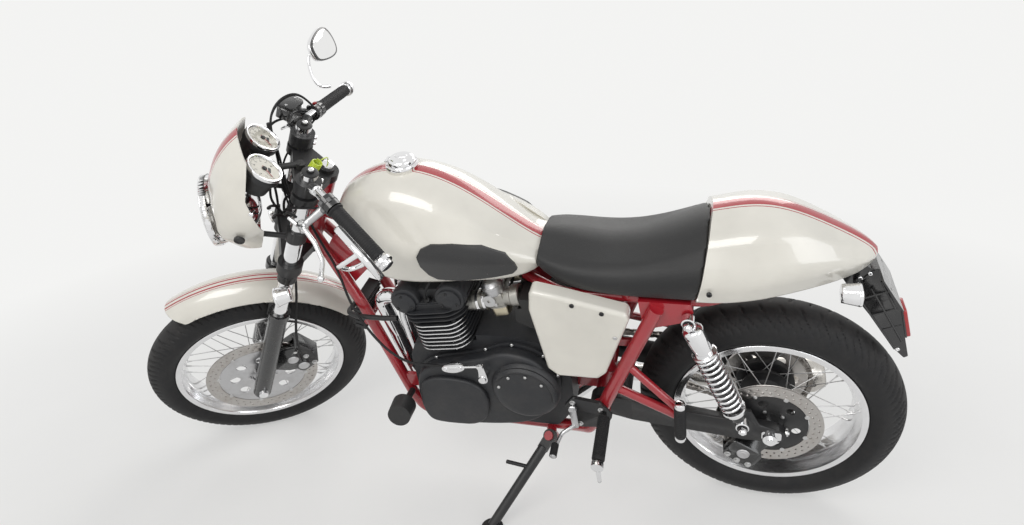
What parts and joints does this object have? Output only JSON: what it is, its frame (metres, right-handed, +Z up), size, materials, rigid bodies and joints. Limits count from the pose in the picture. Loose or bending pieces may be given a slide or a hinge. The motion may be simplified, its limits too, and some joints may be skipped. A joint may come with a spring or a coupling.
{
  "type": "cafe racer motorcycle",
  "caption": "Cafe racer motorcycle leaning on its side stand: parallel twin, clip-on bars, small front cowl, single seat with a humped tail, wire wheels.",
  "frame": {"origin": "bottom centre of the bounding box of the parked motorcycle, on the floor it stands on", "axes": "+X towards the tail, +Y towards the rider's right, +Z up"},
  "size_m": [2.086, 0.841, 1.2921],
  "materials": {
    "alloy": "satin",
    "black_paint": "satin",
    "black_plastic": "matte",
    "carb_alloy": "satin",
    "chrome": "polished",
    "disc_steel": "satin",
    "gauge_black": "satin",
    "hub_alloy": "satin",
    "lamp_red": "gloss",
    "red_frame": "gloss",
    "rim_alloy": "polished",
    "rubber": "matte",
    "seat_vinyl": "satin",
    "steel": "satin",
    "tyre": "matte",
    "white_paint": "gloss",
    "white_plastic": "gloss"
  },
  "bodies": {
    "chassis": {"air_box": "black_plastic", "carburettors": "carb_alloy", "clutch_linkage": "alloy", "crankcase": "black_paint", "crash_bobbins": "black_plastic", "cylinder_barrels": "black_paint", "cylinder_head": "black_paint", "drive_chain": "steel", "engine_covers": "black_paint", "exhaust": "steel", "filler_cap": "chrome", "foot_controls": "alloy", "footrests": "black_paint", "frame": "red_frame", "fuel_tank": "white_paint", "knee_pads": "rubber", "oil_cooler": "black_paint", "plate_carrier": "black_plastic", "rear_axle": "steel", "rear_caliper": "black_paint", "rear_indicators": "chrome", "rear_shocks": "chrome", "seat": "seat_vinyl", "side_panels": "white_plastic", "swingarm": "black_paint", "tail_cowl": "white_plastic", "tail_lamp": "lamp_red"},
    "steering": {"fork_stanchions": "chrome", "fork_sliders": "black_paint", "fork_yokes": "black_paint", "handlebars": "chrome", "grips": "rubber", "hand_controls": "black_paint", "mirrors": "chrome", "headlamp": "chrome", "front_cowl": "white_plastic", "instruments": "gauge_black", "front_mudguard": "white_paint", "front_axle": "steel", "front_caliper": "black_paint", "front_indicators": "chrome", "brake_hose": "rubber"},
    "front_wheel": {"front_tyre": "tyre", "front_rim": "rim_alloy", "front_hub": "hub_alloy", "front_disc": "disc_steel"},
    "rear_wheel": {"rear_tyre": "tyre", "rear_rim": "rim_alloy", "rear_hub": "hub_alloy", "rear_disc": "disc_steel", "rear_sprocket": "disc_steel"},
    "side_stand": {"side_stand": "steel"}
  },
  "joints": [
    {"name": "steering", "type": "hinge", "parent": "chassis", "child": "steering", "pos_m": [-0.4867, 0.03184, 0.72099], "axis": [-0.4491, 0.201, -0.8706], "range_deg": [0, 66]},
    {"name": "front_wheel_spin", "type": "hinge", "parent": "steering", "child": "front_wheel", "pos_m": [-0.75851, 0.09818, 0.2928], "axis": [-0.4866, 0.7622, 0.427], "continuous": true},
    {"name": "rear_wheel_spin", "type": "hinge", "parent": "chassis", "child": "rear_wheel", "pos_m": [0.72308, 0.12592, 0.31347], "axis": [0, 0.9744, 0.225], "continuous": true},
    {"name": "side_stand_fold", "type": "hinge", "parent": "chassis", "child": "side_stand", "pos_m": [0.17155, 0.02468, 0.20078], "axis": [-0.2058, -0.7326, 0.6487], "range_deg": [0, 112]}
  ]
}
